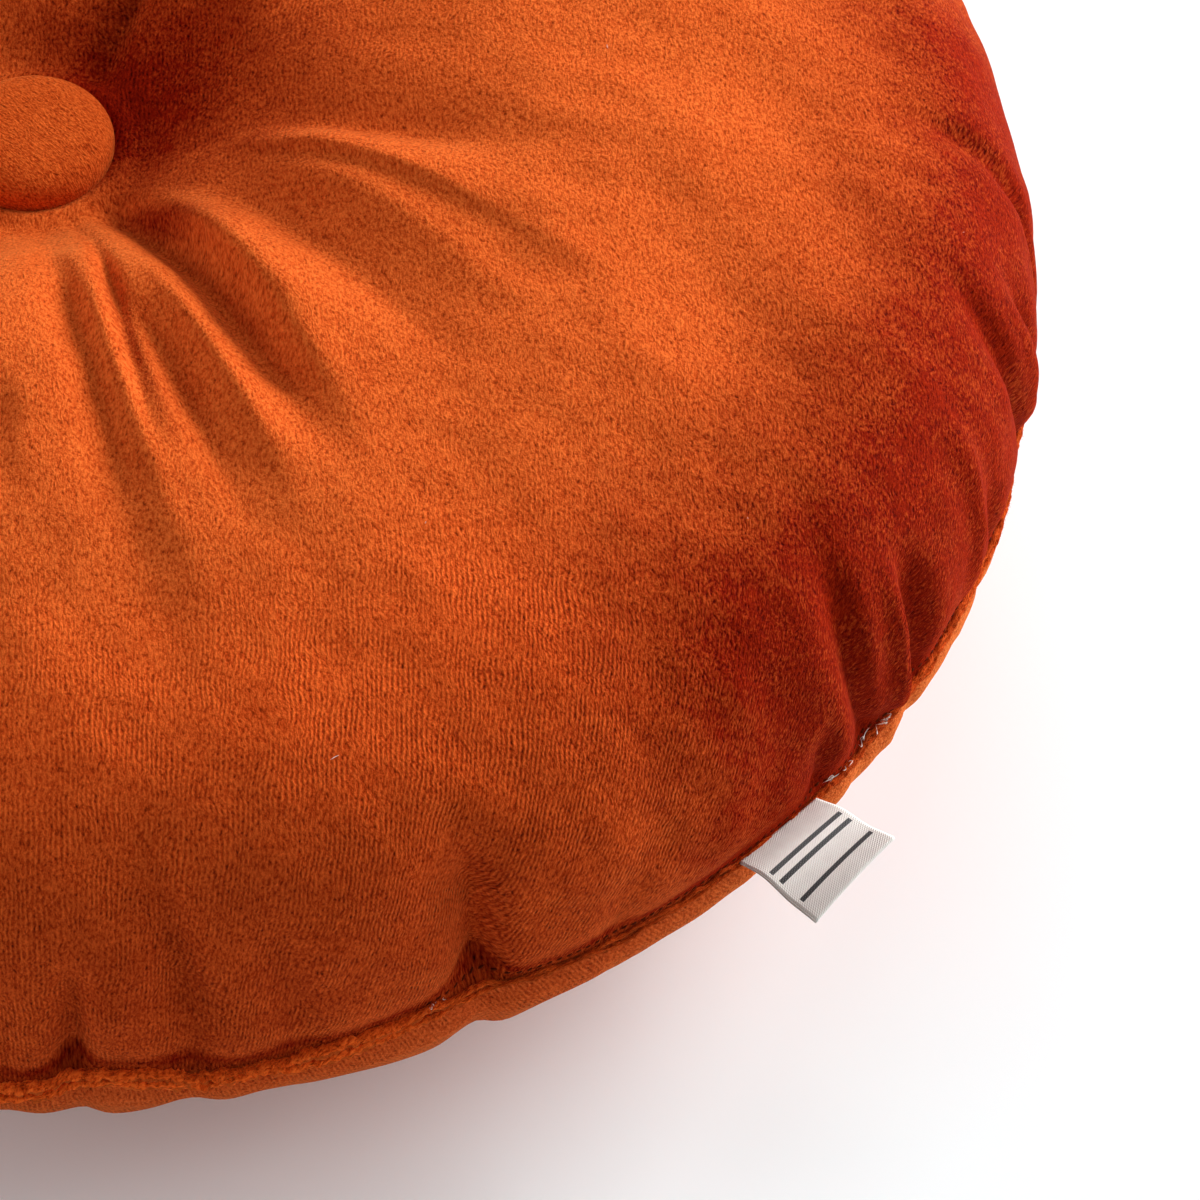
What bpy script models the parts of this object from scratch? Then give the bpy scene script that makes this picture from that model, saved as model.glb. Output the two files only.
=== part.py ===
"""Round buttoned velvet cushion, 40 cm across, lying on its back.

Three solids: the filled cushion with its crown, dimple, folds and drawn-in seam, the covered
button that holds the dimple, and the folded woven label sewn into the seam.
Metres, +Z up. The front of the cushion is at -Y, and the label sticks out towards +X, -Y.
"""

import math
from collections import namedtuple

import bpy
import numpy as np

# Driving sizes of the cushion
SEAM_RADIUS = 0.200
SEAM_HEIGHT = 0.058
CROWN_RISE = 0.074
UNDERSIDE_DROP = 0.064
SEAM_GROOVE = 0.0025
GROOVE_HALF_HEIGHT = 0.006

# Powers of the two superellipse sections: how square the shoulder is, along and up
CROWN_POWERS = (0.44, 0.60)
UNDERSIDE_POWERS = (0.80, 1.13)

# The dimple that the button pulls into the crown, and how far off the middle it sits
DIMPLE_DEPTH = 0.030
DIMPLE_SPREAD = 0.034
DIMPLE_POWER = 1.45
BUTTON_OFFSET = (-0.006, 0.008)
OFFSET_REACH = 0.080

# Button, a domed cap over a thin rim, seated on the floor of the dimple and tilted with it
BUTTON_RADIUS = 0.0172
BUTTON_RIM = 0.0030
BUTTON_DOME = 0.0062
BUTTON_TILT_DEG = 5.0
TILT_REACH = 0.036
FOLD_CLEARANCE = 0.010
SEAT_GAP = 0.0003

# Label, a ribbon folded back on itself, its two ends in the seam
LABEL_ANGLE_DEG = -43.3
LABEL_WIDTH = 0.024
LABEL_LENGTH = 0.0202
LABEL_LAYER = 0.0010
LABEL_LAYER_GAP = 0.0005
LABEL_TWIST = 0.0040
LABEL_SAG = 0.0012

# Fineness of the meshes
COLUMNS = 512
CROWN_RINGS = 120
UNDERSIDE_RINGS = 64
CUSHION_TRIANGLES = 11400
SECTION_POINTS = 4000

# Colours (linear) and finish of the cloth
VELVET = ((0.545, 0.085, 0.013), 0.85)
LABEL_CLOTH = ((0.82, 0.76, 0.66), 0.60)

# A fold runs from its start to its end reach along the cloth, at an angle round the cushion.
# Its half widths are on the side of growing and of falling angle. A depth under zero is a
# ridge. The shares are those of the depth that are left at its start and at its end.
Fold = namedtuple("Fold", "start end first middle last wide_up wide_down depth at_start at_end")

# Folds that spread from the button. Reach is measured from the middle of the crown.
BUTTON_FOLDS = (
    Fold(0.046, 0.122, -7.5, -10.5, -13.0, 0.0085, 0.0060, 0.0036, 0.0, 0.0),
    Fold(0.040, 0.140, -13.0, -21.0, -26.5, 0.0085, 0.0022, -0.0034, 0.0, 0.0),
    Fold(0.048, 0.140, -20.5, -29.0, -34.5, 0.0060, 0.0065, -0.0020, 0.0, 0.0),
    Fold(0.040, 0.140, -28.0, -39.5, -44.0, 0.0110, 0.0070, 0.0058, 0.0, 0.0),
    Fold(0.028, 0.135, -39.5, -51.5, -56.5, 0.0068, 0.0024, -0.0040, 0.0, 0.0),
    Fold(0.022, 0.126, -46.0, -56.5, -58.5, 0.0075, 0.0050, 0.0094, 0.45, 0.0),
    Fold(0.056, 0.150, -63.6, -64.2, -65.2, 0.0042, 0.0024, -0.0022, 0.0, 0.0),
    Fold(0.056, 0.146, -70.0, -69.6, -69.2, 0.0052, 0.0032, 0.0046, 0.0, 0.0),
    Fold(0.036, 0.125, -67.0, -73.4, -74.5, 0.0020, 0.0022, 0.0038, 0.20, 0.0),
    Fold(0.040, 0.160, -77.5, -76.4, -74.4, 0.0042, 0.0024, -0.0018, 0.0, 0.0),
    Fold(0.034, 0.168, -81.5, -79.8, -77.6, 0.0044, 0.0052, 0.0038, 0.20, 0.0),
    Fold(0.088, 0.132, -91.5, -91.0, -90.0, 0.0030, 0.0030, 0.0018, 0.0, 0.0),
)

# Folds gathered by the seam. Reach is measured from the seam, so the end is the far one.
SEAM_FOLDS = (
    Fold(0.000, 0.034, -90.5, -90.5, -90.5, 0.0060, 0.0070, 0.0044, 1.0, 0.0),
    Fold(0.000, 0.042, -86.4, -86.2, -86.0, 0.0034, 0.0060, 0.0062, 1.0, 0.0),
    Fold(0.000, 0.066, -81.0, -81.4, -82.6, 0.0044, 0.0090, 0.0084, 1.0, 0.0),
    Fold(0.000, 0.052, -75.0, -75.6, -77.0, 0.0052, 0.0076, 0.0044, 1.0, 0.0),
    Fold(0.000, 0.056, -63.0, -63.4, -64.4, 0.0038, 0.0090, 0.0090, 1.0, 0.0),
    Fold(0.000, 0.024, -55.0, -55.0, -55.0, 0.0040, 0.0060, 0.0012, 1.0, 0.0),
    Fold(0.000, 0.026, -39.8, -39.8, -40.0, 0.0036, 0.0045, 0.0028, 1.0, 0.0),
    Fold(0.002, 0.068, -34.8, -36.6, -34.2, 0.0036, 0.0054, 0.0044, 0.7, 0.0),
    Fold(0.000, 0.052, -32.0, -32.3, -32.0, 0.0024, 0.0032, -0.0026, 1.0, 0.0),
    Fold(0.000, 0.048, -29.8, -30.2, -30.8, 0.0044, 0.0028, 0.0038, 1.0, 0.0),
    Fold(0.006, 0.056, -23.0, -22.0, -20.5, 0.0026, 0.0034, -0.0018, 0.5, 0.0),
    Fold(0.000, 0.034, -19.4, -19.6, -19.8, 0.0042, 0.0030, 0.0030, 1.0, 0.0),
    Fold(0.006, 0.072, -10.2, -12.4, -10.0, 0.0030, 0.0056, 0.0040, 0.8, 0.0),
    Fold(0.004, 0.052, -8.6, -9.4, -9.4, 0.0020, 0.0024, -0.0018, 0.7, 0.0),
    Fold(0.004, 0.052, -6.0, -7.2, -7.6, 0.0034, 0.0028, 0.0034, 0.8, 0.0),
    Fold(0.008, 0.088, -2.4, 0.8, 0.4, 0.0022, 0.0050, 0.0034, 0.8, 0.0),
)

# The sector that the folds above fill, and the three that repeat them, some the other way
# round: first angle, last angle, mirrored.
SHOWN_SECTOR = (-92.0, 12.0)
OTHER_SECTORS = ((12.0, 98.0, True), (98.0, 183.0, False), (183.0, 268.0, True))
FOLD_SEED = 11
FOLD_STRENGTH = (0.55, 1.05)
UNDERSIDE_SHARE = 0.30
UNDERSIDE_FOLD_LIMIT = 0.075

# Waves of the seam line: angle, lift, draw-in and half width in degrees
Wave = namedtuple("Wave", "angle lift inward half_width")
SEAM_WAVES = (
    Wave(-85.0, 0.0040, 0.0000, 3.2),
    Wave(-65.0, 0.0008, 0.0020, 6.0),
    Wave(-33.0, 0.0000, 0.0010, 3.0),
    Wave(-24.0, 0.0010, 0.0004, 4.0),
    Wave(-10.0, 0.0000, 0.0008, 3.0),
    Wave(12.0, 0.0000, 0.0014, 8.0),
)
SEAM_WAVE_REACH = 0.045
UNDERSIDE_WAVE_REACH = 0.016


def material(name, finish):
    """A plain cloth material: its colour and roughness."""
    colour, roughness = finish
    cloth = bpy.data.materials.new(name)
    cloth.use_nodes = True
    shader = cloth.node_tree.nodes["Principled BSDF"]
    shader.inputs["Base Color"].default_value = (*colour, 1.0)
    shader.inputs["Roughness"].default_value = roughness
    shader.inputs["Metallic"].default_value = 0.0
    cloth.diffuse_color = (*colour, 1.0)
    return cloth


def add_object(name, points, faces, finish):
    """A smooth-shaded mesh object with a material of its own."""
    mesh = bpy.data.meshes.new(name)
    mesh.from_pydata([tuple(point) for point in points], [], faces)
    mesh.validate()
    mesh.update()
    piece = bpy.data.objects.new(name, mesh)
    bpy.context.scene.collection.objects.link(piece)
    mesh.materials.append(material(name, finish))
    mesh.shade_smooth()
    return piece


def turned_fold(fold, sector, strength):
    """The same fold in another sector of the cushion."""
    first, last, mirrored = sector
    scale = (last - first) / (SHOWN_SECTOR[1] - SHOWN_SECTOR[0])

    def turned(angle):
        share = (angle - SHOWN_SECTOR[0]) * scale
        return last - share if mirrored else first + share

    wide_up, wide_down = fold.wide_up, fold.wide_down
    if mirrored:
        wide_up, wide_down = wide_down, wide_up
    return fold._replace(first=turned(fold.first), middle=turned(fold.middle),
                         last=turned(fold.last), wide_up=wide_up, wide_down=wide_down,
                         depth=fold.depth * strength)


def all_folds(shown):
    """The shown folds and their like in the other sectors, each a little weaker or stronger."""
    random = np.random.default_rng(FOLD_SEED)
    folds = list(shown)
    for sector in OTHER_SECTORS:
        for fold in shown:
            folds.append(turned_fold(fold, sector, random.uniform(*FOLD_STRENGTH)))
    return folds


def eased(share):
    """Zero to one with level ends."""
    share = np.clip(share, 0.0, 1.0)
    return share * share * (3.0 - 2.0 * share)


def fold_depth(folds, reach, angle, radius):
    """How deep the folds press the cloth in, at each point of the panel."""
    depth = np.zeros(np.broadcast(reach, angle).shape)
    for fold in folds:
        share = (reach - fold.start) / (fold.end - fold.start)
        run = np.clip(share, 0.0, 1.0)
        bend = 2.0 * (fold.first + fold.last - 2.0 * fold.middle)
        path = fold.first + (fold.last - fold.first - bend) * run + bend * run * run
        turn = np.radians((angle - path + 180.0) % 360.0 - 180.0)
        aside = radius * turn
        width = np.where(aside > 0.0, fold.wide_up, fold.wide_down) * (0.75 + 0.5 * run)
        start = fold.at_start + (1.0 - fold.at_start) * eased(run / 0.35)
        end = fold.at_end + (1.0 - fold.at_end) * eased((1.0 - run) / 0.55)
        across = np.exp(-np.abs(aside / width) ** 1.7)
        depth = depth + np.where(share < 1.0, fold.depth * start * end * across, 0.0)
    return depth


def section(rise, powers):
    """A panel's section from its middle to the seam: reach, radius and height over the seam."""
    share = np.linspace(0.0, 1.0, SECTION_POINTS)
    turn = 0.5 * math.pi * share ** (1.0 / powers[0])
    radius = (SEAM_RADIUS + SEAM_GROOVE) * np.sin(turn) ** powers[0]
    height = rise * np.clip(np.cos(turn), 0.0, 1.0) ** powers[1]
    radius = radius - SEAM_GROOVE * np.exp(-(height / GROOVE_HALF_HEIGHT) ** 2)
    radius = np.maximum(radius, 0.0)
    if rise > 0.0:
        beyond_button = np.maximum(radius - BUTTON_RADIUS, 0.0) / DIMPLE_SPREAD
        height = height - DIMPLE_DEPTH * np.exp(-beyond_button ** DIMPLE_POWER)
    steps = np.hypot(np.diff(radius), np.diff(height))
    reach = np.concatenate(([0.0], np.cumsum(steps)))
    return reach, radius, height


def wave_sums(angle):
    """Lift and draw-in of the seam line at each angle."""
    lift = np.zeros_like(angle)
    inward = np.zeros_like(angle)
    sectors = [(SHOWN_SECTOR[0], SHOWN_SECTOR[1], False)] + list(OTHER_SECTORS)
    for first, last, mirrored in sectors:
        for wave in SEAM_WAVES:
            share = (wave.angle - SHOWN_SECTOR[0]) * (last - first)
            share = share / (SHOWN_SECTOR[1] - SHOWN_SECTOR[0])
            place = last - share if mirrored else first + share
            turn = (angle - place + 180.0) % 360.0 - 180.0
            near = np.exp(-(turn / wave.half_width) ** 2)
            lift = lift + wave.lift * near
            inward = inward + wave.inward * near
    return lift, inward


def panel_points(rise, powers, rings, folds, seam_folds, share_of_seam_folds):
    """Points of one panel, ring by ring from its middle to the seam."""
    reach_line, radius_line, height_line = section(rise, powers)
    whole = reach_line[-1]
    ring_share = np.linspace(0.0, 1.0, rings + 1)[1:]
    reach = (whole * ring_share)[:, None]
    angle = np.linspace(0.0, 360.0, COLUMNS, endpoint=False)[None, :]
    radius = np.interp(reach, reach_line, radius_line)
    height = np.interp(reach, reach_line, height_line)

    # Outward normal of the section, along the radius and up
    step = whole / SECTION_POINTS * 4.0
    run = (np.interp(reach + step, reach_line, radius_line)
           - np.interp(reach - step, reach_line, radius_line))
    climb = (np.interp(reach + step, reach_line, height_line)
             - np.interp(reach - step, reach_line, height_line))
    length = np.hypot(run, climb)
    side = 1.0 if rise > 0.0 else -1.0
    outward = -climb / length * side
    upward = run / length * side

    depth = fold_depth(folds, reach, angle, radius)
    depth = depth * eased((radius - BUTTON_RADIUS) / FOLD_CLEARANCE)
    from_seam = whole - reach
    gathers = fold_depth(seam_folds, from_seam, angle, radius) * share_of_seam_folds
    if rise < 0.0:
        gathers = gathers * eased(1.0 - from_seam / UNDERSIDE_FOLD_LIMIT)
    depth = depth + gathers * eased(from_seam / 0.006 + 0.25)

    lift, inward = wave_sums(angle)
    wave_reach = SEAM_WAVE_REACH if rise > 0.0 else UNDERSIDE_WAVE_REACH
    near_seam = eased(1.0 - from_seam / wave_reach)
    radius = radius - depth * outward - inward * near_seam
    height = height - depth * upward + lift * near_seam
    turn = np.radians(angle)
    shift = np.zeros_like(radius)
    if rise > 0.0:
        shift = np.exp(-(radius / OFFSET_REACH) ** 2)
        tilted = np.exp(-(radius / TILT_REACH) ** 4) * math.tan(math.radians(BUTTON_TILT_DEG))
        height = height + radius * np.sin(turn) * tilted
    points = np.stack((radius * np.cos(turn) + BUTTON_OFFSET[0] * shift,
                       radius * np.sin(turn) + BUTTON_OFFSET[1] * shift,
                       SEAM_HEIGHT + height), axis=-1)
    points[..., 2] = np.maximum(points[..., 2], 0.0)
    return points


def ring_faces(first_ring, second_ring, count):
    """Quads between two rings of vertices, given by the index of each ring's first one."""
    faces = []
    for k in range(count):
        following = (k + 1) % count
        faces.append((first_ring + k, second_ring + k,
                      second_ring + following, first_ring + following))
    return faces


def build_cushion():
    """The filled cushion: crown and underside panels that meet in the seam."""
    button_folds = all_folds(BUTTON_FOLDS)
    seam_folds = all_folds(SEAM_FOLDS)
    crown = panel_points(CROWN_RISE, CROWN_POWERS, CROWN_RINGS, button_folds, seam_folds, 1.0)
    under = panel_points(-UNDERSIDE_DROP, UNDERSIDE_POWERS, UNDERSIDE_RINGS, (), seam_folds,
                         UNDERSIDE_SHARE)

    crown_middle = (BUTTON_OFFSET[0], BUTTON_OFFSET[1], SEAM_HEIGHT + CROWN_RISE - DIMPLE_DEPTH)
    under_middle = (0.0, 0.0, 0.0)
    # The seam ring is shared, so the underside goes on from the ring inside it
    under = under[:-1][::-1]
    points = [crown_middle]
    points.extend(crown.reshape(-1, 3))
    points.extend(under.reshape(-1, 3))
    points.append(under_middle)

    faces = [(0, 1 + k, 1 + (k + 1) % COLUMNS) for k in range(COLUMNS)]
    ring_count = crown.shape[0] + under.shape[0]
    for ring in range(ring_count - 1):
        faces.extend(ring_faces(1 + ring * COLUMNS, 1 + (ring + 1) * COLUMNS, COLUMNS))
    last = 1 + (ring_count - 1) * COLUMNS
    faces.extend((last + k, len(points) - 1, last + (k + 1) % COLUMNS) for k in range(COLUMNS))

    cushion = add_object("cushion", points, faces, VELVET)
    triangles = 2 * COLUMNS * ring_count
    coarser = cushion.modifiers.new("coarser", 'DECIMATE')
    coarser.ratio = CUSHION_TRIANGLES / triangles
    return cushion


def build_button():
    """The covered button: a flat underside, a rolled rim and a domed top."""
    count = 44
    line = [(BUTTON_RADIUS * share, 0.0) for share in (0.45, 0.86)]
    for k in range(5):
        turn = 0.5 * math.pi * k / 4
        line.append((BUTTON_RADIUS * (0.93 + 0.07 * math.sin(turn)),
                     BUTTON_RIM * (1.0 - math.cos(turn))))
    for k in range(1, 9):
        turn = 0.5 * math.pi * k / 9
        line.append((BUTTON_RADIUS * math.cos(turn) ** 0.50,
                     BUTTON_RIM + BUTTON_DOME * math.sin(turn) ** 0.90))
    points = []
    for reach, height in line:
        for k in range(count):
            angle = 2.0 * math.pi * k / count
            points.append((reach * math.cos(angle), reach * math.sin(angle), height))
    bottom, top = len(points), len(points) + 1
    points.append((0.0, 0.0, 0.0))
    points.append((0.0, 0.0, BUTTON_RIM + BUTTON_DOME))
    faces = [(bottom, (k + 1) % count, k) for k in range(count)]
    for ring in range(len(line) - 1):
        faces.extend(ring_faces((ring + 1) * count, ring * count, count))
    last = (len(line) - 1) * count
    faces.extend((last + k, last + (k + 1) % count, top) for k in range(count))
    button = add_object("button", points, faces, VELVET)
    tilt = math.radians(BUTTON_TILT_DEG)
    floor_of_dimple = SEAM_HEIGHT + CROWN_RISE - DIMPLE_DEPTH
    button.location = (BUTTON_OFFSET[0], BUTTON_OFFSET[1] - SEAT_GAP * math.sin(tilt),
                       floor_of_dimple + SEAT_GAP * math.cos(tilt))
    button.rotation_euler = (tilt, 0.0, 0.0)
    return button


def build_label():
    """The woven label: two layers joined by the fold at its outer end."""
    steps = 14
    half_gap = 0.5 * LABEL_LAYER_GAP
    outer_radius = half_gap + LABEL_LAYER
    straight = LABEL_LENGTH - outer_radius

    def side_line(offset):
        """Section points from the seam along the top, round the fold and back underneath."""
        line = []
        for k in range(steps):
            line.append((straight * k / steps, offset))
        for k in range(9):
            turn = math.pi * k / 8
            line.append((straight + offset * math.sin(turn), offset * math.cos(turn)))
        for k in range(steps):
            line.append((straight * (steps - 1 - k) / steps, -offset))
        return line

    outer = side_line(outer_radius)
    inner = side_line(half_gap)
    outline = outer + inner[::-1]
    strips = 12
    points = []
    base_radius = SEAM_RADIUS + SEAT_GAP
    angle = math.radians(LABEL_ANGLE_DEG)
    for row in range(strips + 1):
        across = row / strips - 0.5
        for along, above in outline:
            share = along / LABEL_LENGTH
            height = above + 2.0 * LABEL_TWIST * across * share ** 1.5
            height += LABEL_SAG * math.sin(math.pi * min(share, 1.0)) * 0.6
            reach = base_radius + along
            aside = LABEL_WIDTH * across
            points.append((reach * math.cos(angle) - aside * math.sin(angle),
                           reach * math.sin(angle) + aside * math.cos(angle),
                           SEAM_HEIGHT + height))
    around = len(outline)
    faces = []
    for row in range(strips):
        faces.extend(ring_faces((row + 1) * around, row * around, around))
    # The two cut edges, as strips between the outer and the inner line
    half = len(outer)
    for k in range(half - 1):
        pair = (around - 1 - k, around - 2 - k, k + 1, k)
        faces.append(tuple(pair))
        end = strips * around
        faces.append(tuple(end + index for index in reversed(pair)))
    return add_object("label", points, faces, LABEL_CLOTH)


def main():
    for piece in list(bpy.data.objects):
        bpy.data.objects.remove(piece, do_unlink=True)
    build_cushion()
    build_button()
    build_label()


main()
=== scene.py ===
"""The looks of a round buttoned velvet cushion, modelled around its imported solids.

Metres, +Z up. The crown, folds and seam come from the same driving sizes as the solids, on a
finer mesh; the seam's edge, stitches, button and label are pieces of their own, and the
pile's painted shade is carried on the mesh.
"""

import math
from collections import namedtuple

import bpy
import numpy as np
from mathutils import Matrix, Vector


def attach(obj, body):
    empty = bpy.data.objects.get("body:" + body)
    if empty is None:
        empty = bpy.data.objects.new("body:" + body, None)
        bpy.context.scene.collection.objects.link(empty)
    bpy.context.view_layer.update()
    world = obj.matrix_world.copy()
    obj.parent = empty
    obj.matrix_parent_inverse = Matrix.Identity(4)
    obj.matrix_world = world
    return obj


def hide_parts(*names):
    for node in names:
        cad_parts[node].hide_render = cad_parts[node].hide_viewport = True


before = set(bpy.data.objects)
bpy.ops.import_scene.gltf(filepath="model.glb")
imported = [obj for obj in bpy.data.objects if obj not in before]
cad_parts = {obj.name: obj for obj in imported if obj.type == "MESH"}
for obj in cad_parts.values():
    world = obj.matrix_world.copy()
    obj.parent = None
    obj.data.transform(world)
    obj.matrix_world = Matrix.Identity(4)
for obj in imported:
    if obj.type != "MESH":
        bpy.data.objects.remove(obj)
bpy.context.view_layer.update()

# Driving sizes of the cushion, as in its solids
SEAM_RADIUS = 0.200
SEAM_HEIGHT = 0.058
CROWN_RISE = 0.074
UNDERSIDE_DROP = 0.064
SEAM_GROOVE = 0.0025
GROOVE_HALF_HEIGHT = 0.006
CROWN_POWERS = (0.44, 0.60)
UNDERSIDE_POWERS = (0.80, 1.13)
DIMPLE_DEPTH = 0.030
DIMPLE_SPREAD = 0.034
DIMPLE_POWER = 1.45
BUTTON_OFFSET = (-0.006, 0.008)
OFFSET_REACH = 0.080
BUTTON_RADIUS = 0.0172
BUTTON_RIM = 0.0030
BUTTON_DOME = 0.0062
BUTTON_TILT_DEG = 5.0
TILT_REACH = 0.036
FOLD_CLEARANCE = 0.010
SEAT_GAP = 0.0003
LIP_OUT = 0.0018
LIP_HALF_WIDTH = 0.0026
LIP_RISE = 0.0020
LABEL_ANGLE_DEG = -43.3
LABEL_WIDTH = 0.0225
LABEL_LENGTH = 0.0202

# Fineness of the cushion's mesh
COLUMNS = 740
SECTION_POINTS = 4000
CROWN_STEP = 0.0030
SEAM_STEP = 0.0012
SEAM_ZONE = 0.024
BUTTON_ZONE = (0.013, 0.029)
BUTTON_STEP = 0.0013
UNDERSIDE_STEP = 0.0080
UNDERSIDE_SEAM_ZONE = 0.010

# Camera, from the photograph: it looks along +Y and down
CAMERA_PLACE = (0.111, -0.889, 0.957)
CAMERA_DOWN_DEG = 47.9
CAMERA_LENS = 180.0
SENSOR = 36.0

# A fold runs from its start to its end reach along the cloth, at an angle round the cushion.
# Its half widths are on the side of growing and of falling angle. A depth under zero is a
# ridge. The shares are those of the depth that are left at its start and at its end.
Fold = namedtuple("Fold", "start end first middle last wide_up wide_down depth at_start at_end")

# Folds that spread from the button. Reach is measured from the middle of the crown.
BUTTON_FOLDS = (
    Fold(0.046, 0.122, -7.5, -10.5, -13.0, 0.0085, 0.0060, 0.0036, 0.0, 0.0),
    Fold(0.040, 0.136, -13.0, -21.0, -26.5, 0.0085, 0.0022, -0.0027, 0.0, 0.0),
    Fold(0.048, 0.140, -20.5, -29.0, -34.5, 0.0060, 0.0065, -0.0020, 0.0, 0.0),
    Fold(0.034, 0.146, -28.0, -39.5, -44.0, 0.0110, 0.0070, 0.0050, 0.0, 0.0),
    Fold(0.028, 0.135, -39.5, -51.5, -56.5, 0.0068, 0.0024, -0.0040, 0.0, 0.0),
    Fold(0.020, 0.142, -46.0, -57.2, -58.5, 0.0050, 0.0048, 0.0074, 0.55, 0.0),
    Fold(0.056, 0.150, -63.6, -64.2, -65.2, 0.0042, 0.0024, -0.0022, 0.0, 0.0),
    Fold(0.056, 0.146, -70.0, -69.6, -69.2, 0.0052, 0.0032, 0.0046, 0.0, 0.0),
    Fold(0.036, 0.125, -67.0, -73.4, -74.5, 0.0020, 0.0022, 0.0038, 0.20, 0.0),
    Fold(0.040, 0.160, -77.5, -76.4, -74.4, 0.0042, 0.0024, -0.0018, 0.0, 0.0),
    Fold(0.034, 0.168, -81.5, -79.8, -77.6, 0.0044, 0.0052, 0.0038, 0.20, 0.0),
    Fold(0.088, 0.132, -91.5, -91.0, -90.0, 0.0030, 0.0030, 0.0018, 0.0, 0.0),
)

# Folds gathered by the seam. Reach is measured from the seam, so the end is the far one.
SEAM_FOLDS = (
    Fold(0.000, 0.040, -90.5, -90.5, -90.5, 0.0060, 0.0070, 0.0036, 0.45, 0.0),
    Fold(0.000, 0.042, -86.4, -86.2, -86.0, 0.0034, 0.0060, 0.0062, 1.0, 0.0),
    Fold(0.000, 0.072, -80.0, -80.8, -82.6, 0.0056, 0.0100, 0.0066, 0.40, 0.0),
    Fold(0.000, 0.058, -74.0, -75.0, -77.0, 0.0056, 0.0080, 0.0038, 0.35, 0.0),
    Fold(0.000, 0.056, -63.0, -63.4, -64.4, 0.0038, 0.0090, 0.0090, 1.0, 0.0),
    Fold(0.000, 0.024, -55.0, -55.0, -55.0, 0.0040, 0.0060, 0.0012, 1.0, 0.0),
    Fold(0.000, 0.026, -39.8, -39.8, -40.0, 0.0036, 0.0045, 0.0028, 1.0, 0.0),
    Fold(0.002, 0.068, -34.8, -36.6, -34.2, 0.0036, 0.0054, 0.0044, 0.7, 0.0),
    Fold(0.000, 0.052, -32.0, -32.3, -32.0, 0.0024, 0.0032, -0.0026, 1.0, 0.0),
    Fold(0.000, 0.048, -29.8, -30.2, -30.8, 0.0044, 0.0028, 0.0038, 1.0, 0.0),
    Fold(0.006, 0.056, -23.0, -22.0, -20.5, 0.0026, 0.0034, -0.0018, 0.5, 0.0),
    Fold(0.000, 0.034, -19.4, -19.6, -19.8, 0.0042, 0.0030, 0.0030, 1.0, 0.0),
    Fold(0.006, 0.072, -10.2, -12.4, -10.0, 0.0030, 0.0056, 0.0040, 0.8, 0.0),
    Fold(0.004, 0.052, -8.6, -9.4, -9.4, 0.0020, 0.0024, -0.0018, 0.7, 0.0),
    Fold(0.004, 0.052, -6.0, -7.2, -7.6, 0.0034, 0.0028, 0.0034, 0.8, 0.0),
    Fold(0.008, 0.088, -2.4, 0.8, 0.4, 0.0022, 0.0050, 0.0034, 0.8, 0.0),
)

# The sector that the folds above fill, and the three that repeat them, some the other way
# round: first angle, last angle, mirrored.
SHOWN_SECTOR = (-92.0, 12.0)
OTHER_SECTORS = ((12.0, 98.0, True), (98.0, 183.0, False), (183.0, 268.0, True))
FOLD_SEED = 11
FOLD_STRENGTH = (0.55, 1.05)
UNDERSIDE_SHARE = 0.30
UNDERSIDE_FOLD_LIMIT = 0.075

# Waves of the seam line: angle, lift, draw-in and half width in degrees
Wave = namedtuple("Wave", "angle lift inward half_width")
SEAM_WAVES = (
    Wave(-85.0, 0.0040, 0.0000, 3.2),
    Wave(-65.0, 0.0008, 0.0020, 6.0),
    Wave(-33.0, 0.0000, 0.0010, 3.0),
    Wave(-24.0, 0.0010, 0.0004, 4.0),
    Wave(-10.0, 0.0000, 0.0008, 3.0),
    Wave(12.0, 0.0000, 0.0014, 8.0),
)
SEAM_WAVE_REACH = 0.045
UNDERSIDE_WAVE_REACH = 0.016

# Dents and swells: how many waves, shortest and longest length, and each one's height
DENTS = ((14, 0.026, 0.070, 0.00016), (20, 0.010, 0.018, 0.000035))
DENT_SEED = 31
DENT_MARGIN = 0.020

# Painted pile shade: slopes that face this way look into the velvet's pile, so their colour is
# painted deeper and redder
NAP_SHADE_TURN_DEG = -16.0
NAP_SHADE_REACH = (0.140, 0.206)
NAP_SHADE_FULL_TURN_DEG = 24.0
NAP_SHADE_END_TURN_DEG = 50.0
# Softer patches of the same painted pile shade round the rest of the flank: angle, its half
# width and how deep
SIDE_NAP_SHADES = ((48.0, 24.0, 0.42), (96.0, 26.0, 0.55), (146.0, 22.0, 0.30), (208.0, 30.0, 0.50))
# Painted shade: the lower flank is mixed towards the deep tone, from the first reach to the second
EDGE_SHADE = 0.42
EDGE_SHADE_REACH = (0.165, 0.235)
# Painted shade on the dimple's far wall: the wall's angle, its reach and how deep
DIMPLE_SHADE_TURN_DEG = 33.0
DIMPLE_SHADE_REACH = 0.062
DIMPLE_SHADE_SHARE = 1.15
# Patches of painted shade on the walls of folds, as deeper pile colour: angle, its half width,
# reach, its half width and how deep
FOLD_SHADES = ((-45.0, 6.0, 0.040, 0.020, 0.85), (-72.9, 1.0, 0.086, 0.026, 0.40))
# Painted shade in the seam's groove: how deep, then its distance from the seam and half width
GROOVE_SHADE = 0.45
GROOVE_SHADE_REACH = (0.0024, 0.0016)
# Ribs show most, and the colour is tinted redder as painted shade, on these walls and flanks
RIB_SHADE_DIMPLE_REACH = 0.085
RIB_SHADE_FRONT_TURN_DEG = -92.0
RIB_SHADE_FRONT_HALF_DEG = 58.0
RIB_SHADE_LEAST = 0.12
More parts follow.
